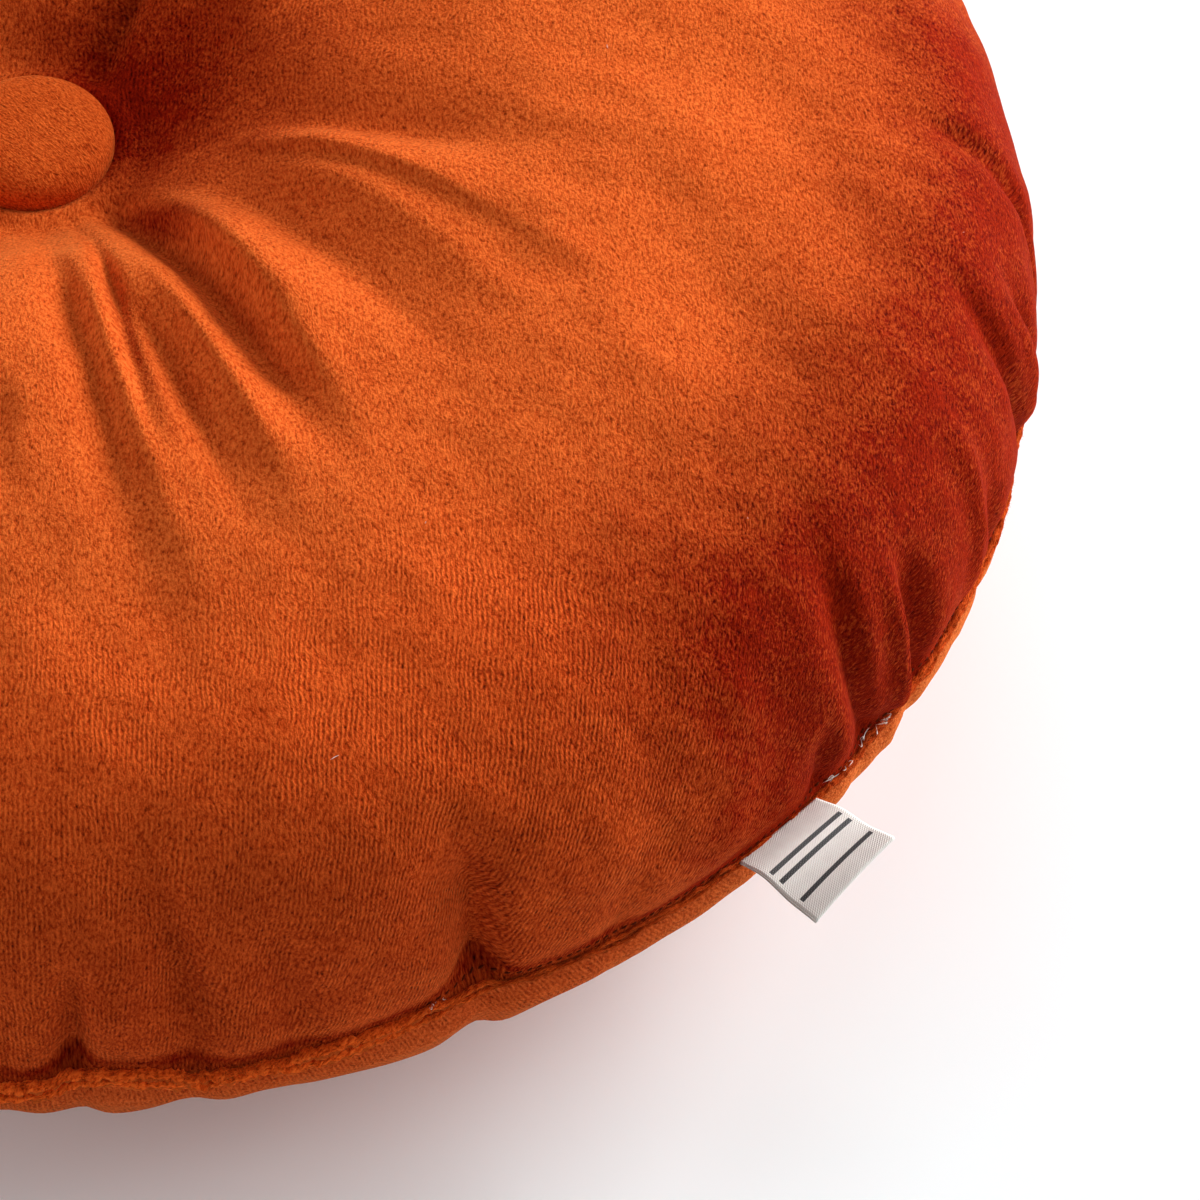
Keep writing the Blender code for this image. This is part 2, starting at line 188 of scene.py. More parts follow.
# The underside is painted darker and less saturated, as shade and as light bounced up from the
# floor
UNDERSIDE_SHADE_AND_BOUNCE_MARK = -0.4
UNDERSIDE_SHADE_AND_BOUNCE_TONE = (0.52, 0.092, 0.017)
BUTTON_NAP = 0.05
BUTTON_RIBS = 0.2
BUTTON_SINK = 0.0010
RIB_PITCH = 0.00100
ROW_PITCH = 0.00120
DASH_WIDTH = 0.00042
DASH_SLIMNESS = 0.24
TUFT_SIZE = 0.00062
SPECKLE_SIZE = 0.00036

# The bead along the seam, where the two panels' edges are turned in and sewn: angle and
# radius. It has two strands, each given by its shift outward, its shift up and its share.
BEAD_STEPS = 2300
BEAD_SIDES = 10
BEAD_TABLE = (
    (-180.0, 0.0010), (-104.0, 0.0012), (-92.0, 0.0017), (-70.0, 0.0016), (-66.0, 0.0011),
    (-62.0, 0.0006), (-45.0, 0.0005), (-40.0, 0.0006), (-28.0, 0.0007), (0.0, 0.0007),
    (40.0, 0.0009), (110.0, 0.0012), (179.0, 0.0010),
)
BEAD_STRANDS = ((0.0004, -0.0007, 0.80), (0.0007, -0.0023, 0.80))
BEAD_LUMPS = 0.46
BEAD_SEED = 5
# The bead's painted pile shade, rising between these two angles
BEAD_NAP_SHADE = 0.62
BEAD_NAP_SHADE_TURN_DEG = (-72.0, -56.0)
STITCH_PITCH = 0.0021
STITCH_FROM_SEAM = 0.0012
STITCH_SLANT = 0.0006
STITCH_LENGTH = 0.0013
STITCH_RADIUS = 0.00028
STITCH_HIDDEN_BEAD = 0.00125
FUZZ_COUNT = 22000
FUZZ_LENGTH = (0.0005, 0.0016)
FUZZ_RADIUS = 0.00007
FUZZ_SEED = 23

# Loose thread ends on the seam: angle, how many, how far out they reach
WISPS = (
    (-33.2, 6, 0.0026), (-34.8, 4, 0.0024), (-39.0, 4, 0.0022), (-66.4, 4, 0.0020),
    (-37.4, 2, 0.0020), (62.0, 4, 0.0024), (171.0, 5, 0.0024),
)
WISP_RADIUS = 0.00010
WISP_SEED = 8
# Lint on the crown: angle and reach
LINT = ((-8.0, 0.196), (-38.0, 0.185), (-57.0, 0.150), (-70.0, 0.188), (4.0, 0.120),
        (120.0, 0.130), (215.0, 0.170))

# The label: two layers of ribbon, folded at the outer end
LABEL_LAYER = 0.00030
LABEL_LAYER_GAP = 0.0005
LABEL_TWIST = 0.0028
LABEL_SAG = 0.0012
LABEL_LIFT = 0.0048
LABEL_DROOP = 0.0024
LABEL_CUP = -0.0008
LABEL_SEAT = 0.0003
LABEL_CREAM = (1.0, 0.96, 0.89)
LABEL_DARK = (0.012, 0.011, 0.012)
LABEL_STRIPES = (0.0072, 0.0098, 0.0152)
LABEL_STRIPE_HALF = 0.00048
LABEL_STRIPE_REACH = 0.0100
TWILL_PITCH = 0.00052
WEFT_PITCH = 0.00040


# Shape of the cushion

def eased(share):
    """Zero to one with level ends."""
    share = np.clip(share, 0.0, 1.0)
    return share * share * (3.0 - 2.0 * share)


def turned_fold(fold, sector, strength):
    """The same fold in another sector of the cushion."""
    first, last, mirrored = sector
    scale = (last - first) / (SHOWN_SECTOR[1] - SHOWN_SECTOR[0])

    def turned(angle):
        share = (angle - SHOWN_SECTOR[0]) * scale
        return last - share if mirrored else first + share

    wide_up, wide_down = fold.wide_up, fold.wide_down
    if mirrored:
        wide_up, wide_down = wide_down, wide_up
    return fold._replace(first=turned(fold.first), middle=turned(fold.middle),
                         last=turned(fold.last), wide_up=wide_up, wide_down=wide_down,
                         depth=fold.depth * strength)


def all_folds(shown):
    """The shown folds and their like in the other sectors, each a little weaker or stronger."""
    random = np.random.default_rng(FOLD_SEED)
    folds = list(shown)
    for sector in OTHER_SECTORS:
        for fold in shown:
            folds.append(turned_fold(fold, sector, random.uniform(*FOLD_STRENGTH)))
    return folds


def fold_depth(folds, reach, angle, radius):
    """How deep the folds press the cloth in, at each point of the panel."""
    depth = np.zeros(np.broadcast(reach, angle).shape)
    for fold in folds:
        share = (reach - fold.start) / (fold.end - fold.start)
        run = np.clip(share, 0.0, 1.0)
        bend = 2.0 * (fold.first + fold.last - 2.0 * fold.middle)
        path = fold.first + (fold.last - fold.first - bend) * run + bend * run * run
        turn = np.radians((angle - path + 180.0) % 360.0 - 180.0)
        aside = radius * turn
        width = np.where(aside > 0.0, fold.wide_up, fold.wide_down) * (0.75 + 0.5 * run)
        start = fold.at_start + (1.0 - fold.at_start) * eased(run / 0.35)
        end = fold.at_end + (1.0 - fold.at_end) * eased((1.0 - run) / 0.55)
        across = np.exp(-np.abs(aside / width) ** 1.7)
        depth = depth + np.where(share < 1.0, fold.depth * start * end * across, 0.0)
    return depth


def section(rise, powers):
    """A panel's section from its middle to the seam: reach, radius and height over the seam."""
    share = np.linspace(0.0, 1.0, SECTION_POINTS)
    turn = 0.5 * math.pi * share ** (1.0 / powers[0])
    radius = (SEAM_RADIUS + SEAM_GROOVE) * np.sin(turn) ** powers[0]
    height = rise * np.clip(np.cos(turn), 0.0, 1.0) ** powers[1]
    radius = radius - SEAM_GROOVE * np.exp(-(height / GROOVE_HALF_HEIGHT) ** 2)
    radius = np.maximum(radius, 0.0)
    if rise > 0.0:
        beyond_button = np.maximum(radius - BUTTON_RADIUS, 0.0) / DIMPLE_SPREAD
        height = height - DIMPLE_DEPTH * np.exp(-beyond_button ** DIMPLE_POWER)
    steps = np.hypot(np.diff(radius), np.diff(height))
    reach = np.concatenate(([0.0], np.cumsum(steps)))
    return reach, radius, height


def wave_sums(angle):
    """Lift and draw-in of the seam line at each angle."""
    lift = np.zeros_like(angle)
    inward = np.zeros_like(angle)
    sectors = [(SHOWN_SECTOR[0], SHOWN_SECTOR[1], False)] + list(OTHER_SECTORS)
    for first, last, mirrored in sectors:
        for wave in SEAM_WAVES:
            share = (wave.angle - SHOWN_SECTOR[0]) * (last - first)
            share = share / (SHOWN_SECTOR[1] - SHOWN_SECTOR[0])
            place = last - share if mirrored else first + share
            turn = (angle - place + 180.0) % 360.0 - 180.0
            near = np.exp(-(turn / wave.half_width) ** 2)
            lift = lift + wave.lift * near
            inward = inward + wave.inward * near
    return lift, inward


def painted_pile_shade(reach, turn, from_seam):
    """How much painted pile shade the crown takes: on flanks that face the brushed way, where the
    pile is seen end-on, and as painted shade on one wall of the dimple, on fold walls, on the
    lower flank and in the seam's groove."""
    aside = np.abs((np.degrees(turn) - NAP_SHADE_TURN_DEG + 180.0) % 360.0 - 180.0)
    facing = eased((NAP_SHADE_END_TURN_DEG - aside) / (NAP_SHADE_END_TURN_DEG - NAP_SHADE_FULL_TURN_DEG))
    for place, half_turn, share in SIDE_NAP_SHADES:
        off = (np.degrees(turn) - place + 180.0) % 360.0 - 180.0
        facing = np.maximum(facing, share * np.exp(-(off / half_turn) ** 2))
    flank = facing * eased((reach - NAP_SHADE_REACH[0]) / (NAP_SHADE_REACH[1] - NAP_SHADE_REACH[0]))
    edge = EDGE_SHADE * eased((reach - EDGE_SHADE_REACH[0]) / (EDGE_SHADE_REACH[1] - EDGE_SHADE_REACH[0]))
    on_wall = np.maximum(np.cos(turn - math.radians(DIMPLE_SHADE_TURN_DEG)), 0.0)
    in_dimple = DIMPLE_SHADE_SHARE * np.exp(-(reach / DIMPLE_SHADE_REACH) ** 3)
    walls = in_dimple * on_wall
    for place, half_turn, middle, half_reach, share in FOLD_SHADES:
        off = (np.degrees(turn) - place + 180.0) % 360.0 - 180.0
        patch = share * np.exp(-(off / half_turn) ** 2 - ((reach - middle) / half_reach) ** 2)
        walls = np.maximum(walls, patch)
    groove = (from_seam - GROOVE_SHADE_REACH[0]) / GROOVE_SHADE_REACH[1]
    return np.maximum(flank, edge) + walls + GROOVE_SHADE * np.exp(-groove ** 2)


def rib_and_shade_share(reach, turn):
    """How plainly the ribs show, with the redder painted shade that goes with them: most on the
    dimple's far wall and on the front flank.
    """
    on_wall = np.maximum(np.cos(turn - math.radians(DIMPLE_SHADE_TURN_DEG)), 0.0)
    in_dimple = np.exp(-(reach / RIB_SHADE_DIMPLE_REACH) ** 3) * on_wall
    aside = np.abs((np.degrees(turn) - RIB_SHADE_FRONT_TURN_DEG + 180.0) % 360.0 - 180.0)
    front = eased((RIB_SHADE_FRONT_HALF_DEG - aside) / 26.0) * eased((reach - 0.125) / 0.06)
    return np.maximum(np.maximum(in_dimple, front), RIB_SHADE_LEAST + 0.0 * front)


def undulation(cloth):
    """Shallow dents and swells of the filling under the cloth, as a depth."""
    random = np.random.default_rng(DENT_SEED)
    depth = np.zeros(cloth.shape[:-1])
    for count, shortest, longest, height in DENTS:
        for wave in range(count):
            heading = random.uniform(0.0, 2.0 * math.pi)
            length = random.uniform(shortest, longest)
            along = cloth[..., 0] * math.cos(heading) + cloth[..., 1] * math.sin(heading)
            depth += height * np.sin(2.0 * math.pi * along / length + random.uniform(0.0, 6.28))
    return depth


def panel_points(rise, powers, from_seam_steps, folds, seam_folds, seam_fold_share):
    """Points of one panel, ring by ring from its middle to the seam, their places on the flat
    cloth with how plainly the ribs and their redder painted shade show, and the painted pile shade."""
    reach_line, radius_line, height_line = section(rise, powers)
    whole = reach_line[-1]
    reach = (whole - from_seam_steps(whole))[:, None]
    angle = np.linspace(0.0, 360.0, COLUMNS, endpoint=False)[None, :]
    radius = np.interp(reach, reach_line, radius_line)
    height = np.interp(reach, reach_line, height_line)

    # Outward normal of the section, along the radius and up
    step = whole / SECTION_POINTS * 4.0
    run = (np.interp(reach + step, reach_line, radius_line)
           - np.interp(reach - step, reach_line, radius_line))
    climb = (np.interp(reach + step, reach_line, height_line)
             - np.interp(reach - step, reach_line, height_line))
    length = np.hypot(run, climb)
    side = 1.0 if rise > 0.0 else -1.0
    outward = -climb / length * side
    upward = run / length * side

    depth = fold_depth(folds, reach, angle, radius)
    depth = depth * eased((radius - BUTTON_RADIUS) / FOLD_CLEARANCE)
    from_seam = whole - reach
    gathers = fold_depth(seam_folds, from_seam, angle, radius) * seam_fold_share
    if rise < 0.0:
        gathers = gathers * eased(1.0 - from_seam / UNDERSIDE_FOLD_LIMIT)
    depth = depth + gathers * eased(from_seam / 0.006 + 0.25)

    turn = np.radians(angle)
    cloth = np.stack((reach * np.cos(turn), reach * np.sin(turn), 0.0 * depth), axis=-1)
    calm = eased((radius - BUTTON_RADIUS) / DENT_MARGIN) * eased(from_seam / DENT_MARGIN)
    depth = depth + undulation(cloth) * calm

    lift, inward = wave_sums(angle)
    wave_reach = SEAM_WAVE_REACH if rise > 0.0 else UNDERSIDE_WAVE_REACH
    near_seam = eased(1.0 - from_seam / wave_reach)
    radius = radius - depth * outward - inward * near_seam
    height = height - depth * upward + lift * near_seam
    shift = np.zeros_like(radius)
    if rise > 0.0:
        shift = np.exp(-(radius / OFFSET_REACH) ** 2)
        tilted = np.exp(-(radius / TILT_REACH) ** 4) * math.tan(math.radians(BUTTON_TILT_DEG))
        height = height + radius * np.sin(turn) * tilted
        lip = np.exp(-((radius - BUTTON_RADIUS - LIP_OUT) / LIP_HALF_WIDTH) ** 2)
        height = height + LIP_RISE * lip
    points = np.stack((radius * np.cos(turn) + BUTTON_OFFSET[0] * shift,
                       radius * np.sin(turn) + BUTTON_OFFSET[1] * shift,
                       SEAM_HEIGHT + height), axis=-1)
    points[..., 2] = np.maximum(points[..., 2], 0.0)
    flat = np.zeros_like(radius)
    cloth[..., 2] = rib_and_shade_share(reach, turn)
    nap_shade = painted_pile_shade(reach, turn, from_seam) if rise > 0.0 else flat + UNDERSIDE_SHADE_AND_BOUNCE_MARK
    return points, cloth, nap_shade


def crown_steps(whole):
    """Distances of the crown's rings from the seam, the far ones first."""
    near = SEAM_STEP * np.arange(round(SEAM_ZONE / SEAM_STEP))
    far = np.arange(SEAM_ZONE, whole - BUTTON_ZONE[1], CROWN_STEP)
    button = np.arange(whole - BUTTON_ZONE[1], whole - BUTTON_ZONE[0], BUTTON_STEP)
    return np.concatenate((near, far, button, [whole - 0.5 * BUTTON_ZONE[0]]))[::-1]


def underside_steps(whole):
    """Distances of the underside's rings from the seam, the far ones first."""
    near = np.arange(0.0, UNDERSIDE_SEAM_ZONE, SEAM_STEP)
    far = np.arange(UNDERSIDE_SEAM_ZONE, whole - 0.01, UNDERSIDE_STEP)
    return np.concatenate((near, far))[::-1]


# Meshes and materials

def ring_faces(first_ring, second_ring, count):
    """Quads between two rings of vertices, given by the index of each ring's first one."""
    k = np.arange(count)
    following = (k + 1) % count
    return np.stack((first_ring + k, second_ring + k,
                     second_ring + following, first_ring + following), axis=-1).tolist()


def add_mesh(name, points, faces, surface, cloth=None, nap_shade=None):
    """A smooth mesh piece that rides on the cushion's body. Its cloth places carry the weave and a
    share of redder painted shade, and its other values the painted pile shade.
    """
    mesh = bpy.data.meshes.new(name)
    mesh.from_pydata(np.asarray(points, float).tolist(), [], faces)
    mesh.update()
    if cloth is not None:
        layer = mesh.attributes.new("cloth", 'FLOAT_VECTOR', 'POINT')
        layer.data.foreach_set("vector", np.asarray(cloth, np.float32).ravel())
    if nap_shade is not None:
        layer = mesh.attributes.new("nap_shade", 'FLOAT', 'POINT')
        layer.data.foreach_set("value", np.asarray(nap_shade, np.float32))
    piece = bpy.data.objects.new(name, mesh)
    bpy.context.scene.collection.objects.link(piece)
    mesh.materials.append(surface)
    mesh.shade_smooth()
    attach(piece, "root")
    return piece


class Recipe:
    """Short calls that build the nodes of one material."""

    def __init__(self, name):
        self.material = bpy.data.materials.new(name)
        self.material.use_nodes = True
        self.tree = self.material.node_tree
        self.shader = self.tree.nodes["Principled BSDF"]

    def node(self, kind, **settings):
        made = self.tree.nodes.new(kind)
        for key, value in settings.items():
            setattr(made, key, value)
        return made

    def feed(self, socket, value):
        if isinstance(value, bpy.types.NodeSocket):
            self.tree.links.new(value, socket)
        else:
            socket.default_value = value

    def number(self, operation, first, second=0.0, third=0.0):
        made = self.node('ShaderNodeMath', operation=operation)
        for socket, value in zip(made.inputs, (first, second, third)):
            self.feed(socket, value)
        return made.outputs[0]

    def vector(self, operation, first, second=(0.0, 0.0, 0.0)):
        made = self.node('ShaderNodeVectorMath', operation=operation)
        self.feed(made.inputs[0], first)
        if operation == 'SCALE':
            self.feed(made.inputs["Scale"], second)
        else:
            self.feed(made.inputs[1], second)
        return made.outputs[0]

    def turned(self, vector, degrees, scale=(1.0, 1.0, 1.0)):
        made = self.node('ShaderNodeMapping')
        self.feed(made.inputs["Vector"], vector)
        made.inputs["Rotation"].default_value = (0.0, 0.0, math.radians(degrees))
        made.inputs["Scale"].default_value = scale
        return made.outputs[0]

    def noise(self, vector, size, detail=2.0, roughness=0.5, colour=False):
        """Noise whose features are about size metres across."""
        made = self.node('ShaderNodeTexNoise')
        self.feed(made.inputs["Vector"], vector)
        made.inputs["Scale"].default_value = 1.0 / size
        made.inputs["Detail"].default_value = detail
        made.inputs["Roughness"].default_value = roughness
        return made.outputs["Color" if colour else "Fac"]

    def spread(self, value, low, high, to_low=0.0, to_high=1.0, smooth=True):
        made = self.node('ShaderNodeMapRange')
        made.interpolation_type = 'SMOOTHSTEP' if smooth else 'LINEAR'
        for name, number in (("Value", value), ("From Min", low), ("From Max", high),
                             ("To Min", to_low), ("To Max", to_high)):
            self.feed(made.inputs[name], number)
        return made.outputs[0]

    def mixed(self, share, first, second, blend='MIX'):
        made = self.node('ShaderNodeMix', data_type='RGBA', blend_type=blend)
        self.feed(made.inputs[0], share)
        self.feed(made.inputs[6], first)
        self.feed(made.inputs[7], second)
        return made.outputs[2]

    def attribute(self, name):
        return self.node('ShaderNodeAttribute', attribute_name=name).outputs["Vector"]

    def bump(self, height, distance, strength=1.0):
        made = self.node('ShaderNodeBump')
        made.inputs["Strength"].default_value = strength
        made.inputs["Distance"].default_value = distance
        self.feed(made.inputs["Height"], height)
        return made.outputs["Normal"]


def velvet(name, bright, deep, grain_turn=0.0, ribs=1.0, fine=1.0):
    """Short-pile velvet: broken ribs, tufts with dark flecks, and painted pile shade that deepens
    the colour where the mesh marks it.
    """
    r = Recipe(name)
    place = r.node('ShaderNodeSeparateXYZ')
    r.feed(place.inputs[0], r.attribute("cloth"))
    level = r.node('ShaderNodeCombineXYZ')
    r.feed(level.inputs[0], place.outputs[0])
    r.feed(level.inputs[1], place.outputs[1])
    flat = r.turned(level.outputs[0], grain_turn)
    wander = r.vector('SUBTRACT', r.noise(flat, 0.0100, 3.0, colour=True), (0.5, 0.5, 0.5))
    cloth = r.vector('ADD', flat, r.vector('SCALE', wander, 0.0028))
    parts = r.node('ShaderNodeSeparateXYZ')
    r.feed(parts.inputs[0], cloth)
    rib = r.number('SINE', r.number('MULTIPLY', parts.outputs[0], 2.0 * math.pi / RIB_PITCH))
    row = r.number('SINE', r.number('MULTIPLY', parts.outputs[1], 2.0 * math.pi / ROW_PITCH))
    rib = r.number('MULTIPLY', rib, r.number('MULTIPLY_ADD', row, 0.35, 0.75))
    dashes = r.noise(r.turned(cloth, 0.0, (1.0, DASH_SLIMNESS, 1.0)), DASH_WIDTH * fine, 1.5, 0.55)
    tufts = r.noise(r.turned(cloth, 32.0, (1.0, 0.62, 1.0)), TUFT_SIZE * fine, 2.0, 0.62)
    speckle = r.noise(flat, SPECKLE_SIZE, 1.0, 0.5)

    # Ribs show in patches and less in the soft bright ones
    patches = r.spread(r.noise(flat, 0.011, 2.0, 0.6), 0.36, 0.60, 0.25, 1.0)
    patches = r.number('MULTIPLY', patches, place.outputs[2])
    rib_share = r.number('MULTIPLY', patches, 0.24 * ribs)
    clumps = r.noise(flat, 0.0034, 2.0, 0.6)
    mottle = r.noise(flat, 0.019, 3.0, 0.6)

    # Painted pile shade: on flanks where the pile is seen end-on, and on the dimple's wall, fold
    # walls, the lower flank and the seam's groove, the colour is mixed towards the deep tone
    nap_shade = r.node('ShaderNodeAttribute', attribute_name="nap_shade").outputs["Fac"]
    blotch = r.number('MULTIPLY', r.number('SUBTRACT', mottle, 0.5), 0.75)
    blotch = r.number('MULTIPLY_ADD', r.number('SUBTRACT', clumps, 0.5), 0.55, blotch)
    streaks = r.noise(r.turned(flat, 20.0, (0.30, 1.0, 1.0)), 0.0045, 2.0, 0.6)
    blotch = r.number('MULTIPLY_ADD', r.number('SUBTRACT', streaks, 0.5), 0.45, blotch)
    edge = r.number('MULTIPLY', nap_shade, r.number('SUBTRACT', 1.15, nap_shade))
    lean = r.number('MULTIPLY_ADD', blotch, r.number('MULTIPLY_ADD', edge, 2.6, 0.12), nap_shade)
    deep_tufts = r.number('MULTIPLY', r.number('SUBTRACT', 0.52, tufts), nap_shade)
    lean = r.number('MULTIPLY_ADD', deep_tufts, 0.8, lean)
    share = r.spread(lean, 0.0, 1.0, smooth=False)
    colour = r.mixed(share, (*bright, 1.0), (*deep, 1.0))
    # Painted shade and floor bounce light on the underside: a darker, less saturated tone
    underside_shade_and_bounce = r.spread(nap_shade, 0.5 * UNDERSIDE_SHADE_AND_BOUNCE_MARK, 0.0, 1.0, 0.0)
    colour = r.mixed(underside_shade_and_bounce, colour, (*UNDERSIDE_SHADE_AND_BOUNCE_TONE, 1.0))
    # Painted shade: where the ribs show most, on the dimple's far wall and the front flank, the
    # colour is tinted redder
    rib_shade_tint = r.mixed(place.outputs[2], (1.0, 1.0, 1.0, 1.0), (1.08, 0.87, 0.79, 1.0))
    colour = r.mixed(1.0, colour, rib_shade_tint, 'MULTIPLY')

    grain = r.number('MULTIPLY', rib, rib_share)
    grain = r.number('MULTIPLY_ADD', r.number('SUBTRACT', dashes, 0.5), 0.62 * ribs, grain)
    grain = r.number('MULTIPLY_ADD', r.number('SUBTRACT', tufts, 0.5), 1.35, grain)
    grain = r.number('MULTIPLY_ADD', r.number('SUBTRACT', speckle, 0.5), 0.55, grain)
    grain = r.number('MULTIPLY_ADD', r.number('SUBTRACT', clumps, 0.5), 0.26, grain)
    grain = r.number('MULTIPLY_ADD', r.number('SUBTRACT', mottle, 0.5), 0.22, grain)
    grain = r.number('MULTIPLY', grain, r.spread(nap_shade, 0.0, 1.0, 1.0, 1.3, smooth=False))
    fleck = r.spread(tufts, 0.30, 0.44, -0.22, 0.0)
    shade = r.number('ADD', r.number('ADD', grain, fleck), 1.02)
    tone = r.node('ShaderNodeVectorMath', operation='SCALE')
    r.feed(tone.inputs[0], colour)
    r.feed(tone.inputs["Scale"], shade)

    # Light that scatters deep in the pile comes out redder, so the dark flecks are redder too
    redder = r.mixed(r.spread(shade, 0.75, 1.25), (1.0, 0.72, 0.55, 1.0), (1.0, 1.10, 1.15, 1.0))
    tinted = r.mixed(1.0, tone.outputs[0], redder, 'MULTIPLY')
    r.feed(r.shader.inputs["Base Color"], tinted)

    height = r.number('MULTIPLY', rib, r.number('MULTIPLY', patches, 0.60 * ribs))
    height = r.number('MULTIPLY_ADD', dashes, 0.9 * ribs, height)
    height = r.number('MULTIPLY_ADD', tufts, 1.7, height)
    height = r.number('MULTIPLY_ADD', clumps, 0.9, height)
    r.feed(r.shader.inputs["Normal"], r.bump(height, 0.00022, 0.9))
    r.shader.inputs["Roughness"].default_value = 0.92
    r.shader.inputs["Specular IOR Level"].default_value = 0.03
    r.shader.inputs["Sheen Weight"].default_value = 0.50
    r.shader.inputs["Sheen Roughness"].default_value = 0.35
    tint = r.mixed(share, (1.0, 0.36, 0.09, 1.0), (0.60, 0.04, 0.001, 1.0))
    r.feed(r.shader.inputs["Sheen Tint"], tint)
    return r.material


def plain_thread(name, colour, roughness=0.8):
    """Thread or fibre of one colour with a faint variation along it."""
    r = Recipe(name)
    place = r.node('ShaderNodeTexCoord').outputs["Object"]
    shade = r.spread(r.noise(place, 0.0016, 2.0), 0.25, 0.75, 0.75, 1.20)
    tone = r.node('ShaderNodeVectorMath', operation='SCALE')
    tone.inputs[0].default_value = colour
    r.feed(tone.inputs["Scale"], shade)
    r.feed(r.shader.inputs["Base Color"], tone.outputs[0])
    r.shader.inputs["Roughness"].default_value = roughness
    r.shader.inputs["Specular IOR Level"].default_value = 0.05
    return r.material


def label_satin():
    """Cream satin ribbon: a fine diagonal twill, a soft gloss and two plain woven stripes."""
    r = Recipe("label_satin")
    parts = r.node('ShaderNodeSeparateXYZ')
    r.feed(parts.inputs[0], r.attribute("cloth"))
    along, across = parts.outputs[0], parts.outputs[1]
    lines = r.number('ADD', along, r.number('MULTIPLY', across, 0.62))
    twill = r.number('SINE', r.number('MULTIPLY', lines, 2.0 * math.pi / TWILL_PITCH))
    weft = r.number('SINE', r.number('MULTIPLY', across, 2.0 * math.pi / WEFT_PITCH))
    weave = r.number('MULTIPLY_ADD', weft, 0.35, twill)
    uneven = r.noise(r.attribute("cloth"), 0.004, 2.0)
    shade = r.number('MULTIPLY_ADD', weave, 0.045, r.spread(uneven, 0.2, 0.8, 0.94, 1.04))
    tone = r.node('ShaderNodeVectorMath', operation='SCALE')
    tone.inputs[0].default_value = LABEL_CREAM
    r.feed(tone.inputs["Scale"], shade)

    # Each stripe is a band of dark weft between its two edges, broken by the cream warp
    marks = None
    for middle in LABEL_STRIPES:
        offset = r.number('ABSOLUTE', r.number('SUBTRACT', along, middle))
        band = r.spread(offset, LABEL_STRIPE_HALF, LABEL_STRIPE_HALF + 0.00010, 1.0, 0.0)
        marks = band if marks is None else r.number('MAXIMUM', marks, band)
    margin = r.number('ABSOLUTE', across)
    inside = r.spread(margin, LABEL_STRIPE_REACH, LABEL_STRIPE_REACH + 0.00015, 1.0, 0.0)
    broken = r.spread(weave, -1.2, -0.7, 0.88, 1.0)
    marks = r.number('MULTIPLY', r.number('MULTIPLY', marks, inside), broken)
    r.feed(r.shader.inputs["Base Color"],
           r.mixed(marks, tone.outputs[0], (*LABEL_DARK, 1.0)))
    r.feed(r.shader.inputs["Normal"], r.bump(weave, 0.00005, 0.8))
    r.shader.inputs["Roughness"].default_value = 0.42
    r.shader.inputs["Specular IOR Level"].default_value = 0.35
    r.shader.inputs["Sheen Weight"].default_value = 0.30
    return r.material


# The pieces

def build_cushion(surface):
    """The filled cushion's skin: crown and underside in one closed mesh."""
    button_folds = all_folds(BUTTON_FOLDS)
    seam_folds = all_folds(SEAM_FOLDS)
    crown, crown_cloth, crown_nap_shade = panel_points(CROWN_RISE, CROWN_POWERS, crown_steps,
                                                 button_folds, seam_folds, 1.0)
    under, under_cloth, under_nap_shade = panel_points(-UNDERSIDE_DROP, UNDERSIDE_POWERS,
                                                 underside_steps, (), seam_folds,
                                                 UNDERSIDE_SHARE)
    under = under[:-1][::-1]
    under_cloth = under_cloth[:-1][::-1]
    under_nap_shade = under_nap_shade[:-1][::-1]
    middle = (BUTTON_OFFSET[0], BUTTON_OFFSET[1], SEAM_HEIGHT + CROWN_RISE - DIMPLE_DEPTH)
    points = np.concatenate(([middle], crown.reshape(-1, 3), under.reshape(-1, 3),
                             [(0.0, 0.0, 0.0)]))
    cloth = np.concatenate(([(0.0, 0.0, 0.0)], crown_cloth.reshape(-1, 3),
                            under_cloth.reshape(-1, 3), [(0.0, 0.0, 0.0)]))
    nap_shade = np.concatenate(([0.0], crown_nap_shade.ravel(), under_nap_shade.ravel(), [UNDERSIDE_SHADE_AND_BOUNCE_MARK]))
    faces = [(0, 1 + k, 1 + (k + 1) % COLUMNS) for k in range(COLUMNS)]
    rings = len(crown) + len(under)
    for ring in range(rings - 1):
        faces.extend(ring_faces(1 + ring * COLUMNS, 1 + (ring + 1) * COLUMNS, COLUMNS))
    last = 1 + (rings - 1) * COLUMNS
    end = len(points) - 1
    faces.extend((last + k, end, last + (k + 1) % COLUMNS) for k in range(COLUMNS))
    cushion = add_mesh("velvet_cushion", points, faces, surface, cloth, nap_shade)
    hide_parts("cushion")
    return cushion


